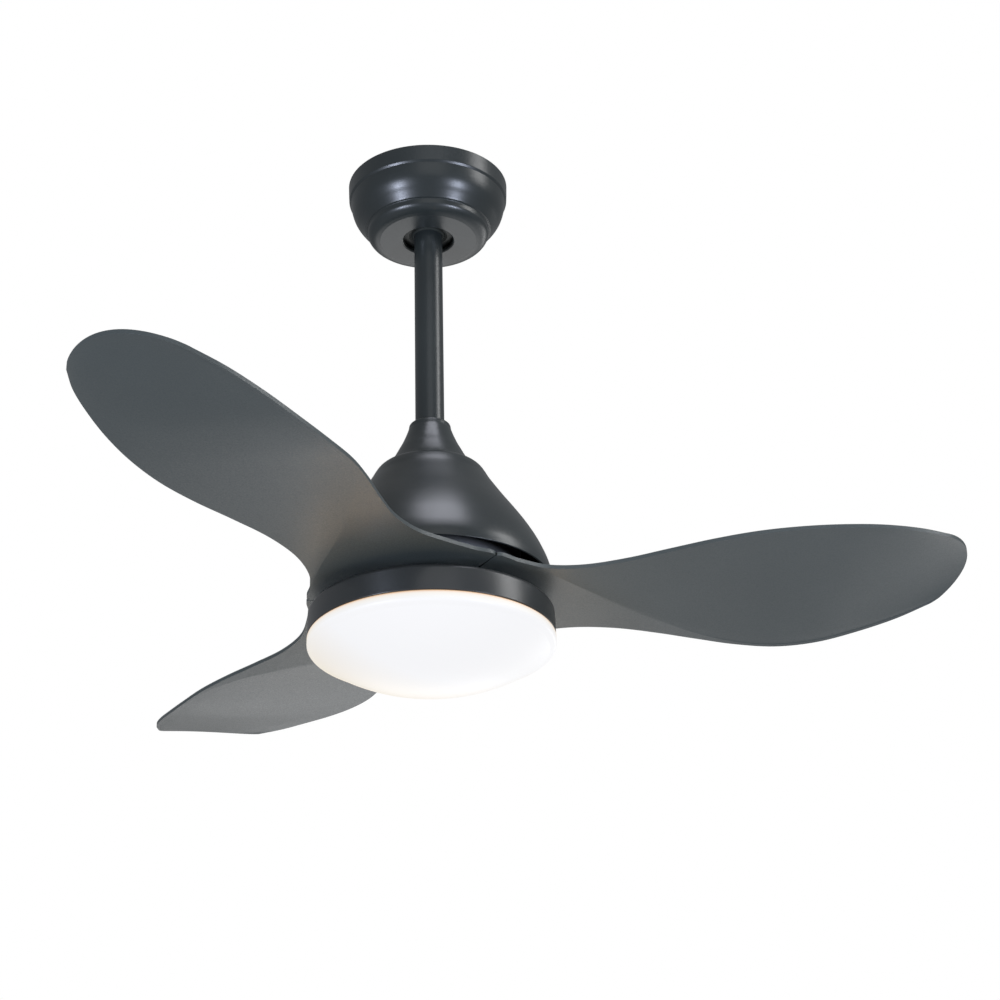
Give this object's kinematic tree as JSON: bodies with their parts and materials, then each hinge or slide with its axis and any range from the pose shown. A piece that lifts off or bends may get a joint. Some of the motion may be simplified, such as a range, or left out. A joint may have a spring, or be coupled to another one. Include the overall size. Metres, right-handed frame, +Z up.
{
  "type": "ceiling fan with light",
  "caption": "Ceiling fan on a short downrod with three curved blades, a bell motor cover, a round canopy and a round opal light underneath.",
  "frame": {"origin": "on the fan's vertical axis, in the plane of the ceiling, on top of the hanger bracket", "axes": "+Z up, out of the bracket towards the ceiling; the first blade parks 0.8 degrees round from +X; +Y is away from the side with the bracket's open loading slot"},
  "size_m": [0.7645, 0.8574, 0.5139],
  "materials": {
    "graphite_paint": "satin powder coat, graphite grey",
    "graphite_ring": "satin paint, graphite grey",
    "blade_abs": "moulded ABS with a fine matte grain, graphite grey",
    "zinc_steel": "zinc-plated pressed steel",
    "cast_alloy": "die-cast alloy, as cast",
    "motor_steel": "turned steel",
    "bearing_steel": "ground bearing steel",
    "lamination_steel": "stacked electrical steel sheet",
    "copper_wire": "enamelled copper winding wire",
    "ferrite": "sintered ferrite magnet",
    "nylon": "moulded natural nylon",
    "grey_nylon": "moulded dark grey nylon",
    "black_abs": "moulded black ABS",
    "black_screw": "black passivated steel",
    "wire_sleeve": "black PVC sleeving",
    "white_enamel": "white enamelled sheet",
    "led_board": "white solder mask",
    "opal_acrylic": "opal acrylic, softly satin, lit from inside"
  },
  "bodies": {
    "ceiling": {"ceiling_bracket": "zinc_steel", "receiver": "black_abs", "terminal_block": "nylon"},
    "canopy": {"canopy": "graphite_paint", "canopy_screw_1": "black_screw", "canopy_screw_2": "black_screw"},
    "seat": {"ball_seat": "grey_nylon"},
    "hanger": {"hanger_ball": "grey_nylon", "ball_pin": "zinc_steel", "downrod": "graphite_paint", "wire_harness": "wire_sleeve", "harness_plug": "nylon", "rod_coupling": "cast_alloy", "clevis_pin": "zinc_steel", "hairpin_clip": "zinc_steel", "coupling_set_screw_1": "zinc_steel", "coupling_set_screw_2": "zinc_steel", "motor_cover": "graphite_paint", "motor_cover_screw_1": "zinc_steel", "motor_cover_screw_2": "zinc_steel", "motor_cover_screw_3": "zinc_steel", "motor_shaft": "motor_steel", "stator_core": "lamination_steel", "stator_winding": "copper_wire", "bearing_upper_inner": "bearing_steel", "bearing_lower_inner": "bearing_steel", "shaft_circlip": "motor_steel", "light_mounting_plate": "zinc_steel", "shaft_nut": "zinc_steel", "light_housing": "graphite_ring", "light_housing_screw_1": "zinc_steel", "light_housing_screw_2": "zinc_steel", "light_housing_screw_3": "zinc_steel", "led_tray": "white_enamel", "tray_screw_1": "zinc_steel", "tray_screw_2": "zinc_steel", "led_driver": "black_abs", "led_board": "led_board"},
    "rod_cover": {"coupling_cover": "graphite_paint"},
    "rotor": {"rotor_upper": "cast_alloy", "rotor_lower": "cast_alloy", "magnet_ring": "ferrite", "bearing_upper_outer": "bearing_steel", "bearing_lower_outer": "bearing_steel", "blade_1": "blade_abs", "blade_2": "blade_abs", "blade_3": "blade_abs", "blade_screw_1_1": "zinc_steel", "blade_screw_1_2": "zinc_steel", "blade_screw_1_3": "zinc_steel", "blade_screw_2_1": "zinc_steel", "blade_screw_2_2": "zinc_steel", "blade_screw_2_3": "zinc_steel", "blade_screw_3_1": "zinc_steel", "blade_screw_3_2": "zinc_steel", "blade_screw_3_3": "zinc_steel"},
    "upper_balls": {"bearing_upper_balls": "bearing_steel"},
    "lower_balls": {"bearing_lower_balls": "bearing_steel"},
    "lamp": {"diffuser": "opal_acrylic"}
  },
  "joints": [
    {"name": "canopy_slide", "type": "slide", "parent": "ceiling", "child": "canopy", "axis": [0, 0, -1], "range_m": [0, 0.055]},
    {"name": "swing_front_back", "type": "hinge", "parent": "ceiling", "child": "seat", "pos_m": [0, 0, -0.038], "axis": [1, 0, 0], "range_deg": [-5, 5]},
    {"name": "swing_side", "type": "hinge", "parent": "seat", "child": "hanger", "pos_m": [0, 0, -0.038], "axis": [0, 1, 0], "range_deg": [-5, 5]},
    {"name": "rod_cover_lift", "type": "slide", "parent": "hanger", "child": "rod_cover", "axis": [0, 0, 1], "range_m": [0, 0.09]},
    {"name": "rotor_spin", "type": "hinge", "parent": "hanger", "child": "rotor", "pos_m": [0, 0, -0.43], "axis": [0, 0, 1], "continuous": true},
    {"name": "upper_cage_spin", "type": "hinge", "parent": "hanger", "child": "upper_balls", "pos_m": [0, 0, -0.3828], "axis": [0, 0, 1], "continuous": true},
    {"name": "lower_cage_spin", "type": "hinge", "parent": "hanger", "child": "lower_balls", "pos_m": [0, 0, -0.4228], "axis": [0, 0, 1], "continuous": true},
    {"name": "diffuser_twist", "type": "hinge", "parent": "hanger", "child": "lamp", "pos_m": [0, 0, -0.47], "axis": [0, 0, 1], "range_deg": [0, 15]}
  ],
  "couplings": [
    {"joint": "upper_cage_spin", "follows": "rotor_spin", "ratio": 0.594},
    {"joint": "lower_cage_spin", "follows": "rotor_spin", "ratio": 0.594}
  ]
}
